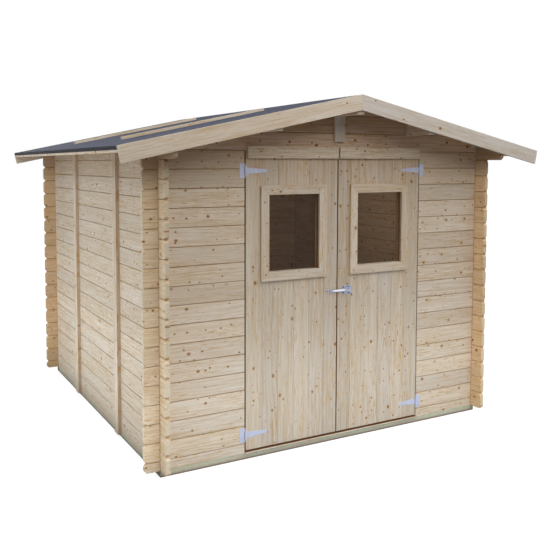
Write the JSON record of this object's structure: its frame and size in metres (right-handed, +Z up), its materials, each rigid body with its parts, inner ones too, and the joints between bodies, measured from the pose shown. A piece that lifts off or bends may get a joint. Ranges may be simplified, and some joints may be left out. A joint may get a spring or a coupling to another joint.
{
  "type": "garden shed",
  "caption": "Garden shed of planed interlocking logs with a low gabled felt roof, a double door with windows and a hasp, on impregnated beams.",
  "frame": {"origin": "on the ground, at the middle of the roof's outline seen from above", "axes": "+Z up, -Y out of the double door, +X to the right of someone facing the door"},
  "size_m": [3.14, 2.854, 2.2652],
  "materials": {
    "pine_boards": "planed untreated pine",
    "planed_trim": "planed untreated pine trim",
    "impregnated_wood": "pressure impregnated, green",
    "roofing_felt": "bitumen felt with grey mineral grit",
    "galvanised_steel": "zinc plated sheet",
    "window_glass": "clear float glass"
  },
  "bodies": {
    "shed": {"foundation_cross_beams": "impregnated_wood", "foundation_side_beams": "impregnated_wood", "floor_joists": "impregnated_wood", "floor": "pine_boards", "door_sill": "planed_trim", "left_wall": "pine_boards", "right_wall": "pine_boards", "back_wall": "pine_boards", "back_gable": "pine_boards", "front_wall_left": "pine_boards", "front_wall_right": "pine_boards", "front_gable": "pine_boards", "door_posts": "pine_boards", "side_wall_battens": "pine_boards", "gable_battens": "pine_boards", "ridge_purlin": "pine_boards", "side_purlins": "pine_boards", "left_eaves_log": "pine_boards", "right_eaves_log": "pine_boards", "left_roof_boards": "pine_boards", "right_roof_boards": "pine_boards", "eave_strips": "planed_trim", "left_felt": "roofing_felt", "right_felt": "roofing_felt", "felt_battens": "pine_boards", "front_left_barge": "planed_trim", "front_right_barge": "planed_trim", "back_left_barge": "planed_trim", "back_right_barge": "planed_trim", "left_hinge_plates": "galvanised_steel", "right_hinge_plates": "galvanised_steel"},
    "left_door": {"left_leaf": "pine_boards", "left_leaf_ledges": "pine_boards", "left_head_strip": "planed_trim", "left_window_trim": "planed_trim", "left_glass": "window_glass", "left_hinge_straps": "galvanised_steel", "hasp_plate": "galvanised_steel"},
    "right_door": {"right_leaf": "pine_boards", "right_leaf_ledges": "pine_boards", "right_head_strip": "planed_trim", "right_window_trim": "planed_trim", "right_glass": "window_glass", "right_hinge_straps": "galvanised_steel", "hasp_staple": "galvanised_steel"},
    "hasp": {"hasp_strap": "galvanised_steel"}
  },
  "joints": [
    {"name": "left_door_hinge", "type": "hinge", "parent": "shed", "child": "left_door", "pos_m": [-0.686, -1.179, 1], "axis": [0, 0, -1], "range_deg": [0, 130]},
    {"name": "right_door_hinge", "type": "hinge", "parent": "shed", "child": "right_door", "pos_m": [0.686, -1.179, 1], "axis": [0, 0, 1], "range_deg": [0, 130]},
    {"name": "hasp_pivot", "type": "hinge", "parent": "left_door", "child": "hasp", "pos_m": [-0.043, -1.182, 1.005], "axis": [0, 0, -1], "range_deg": [0, 150]}
  ]
}
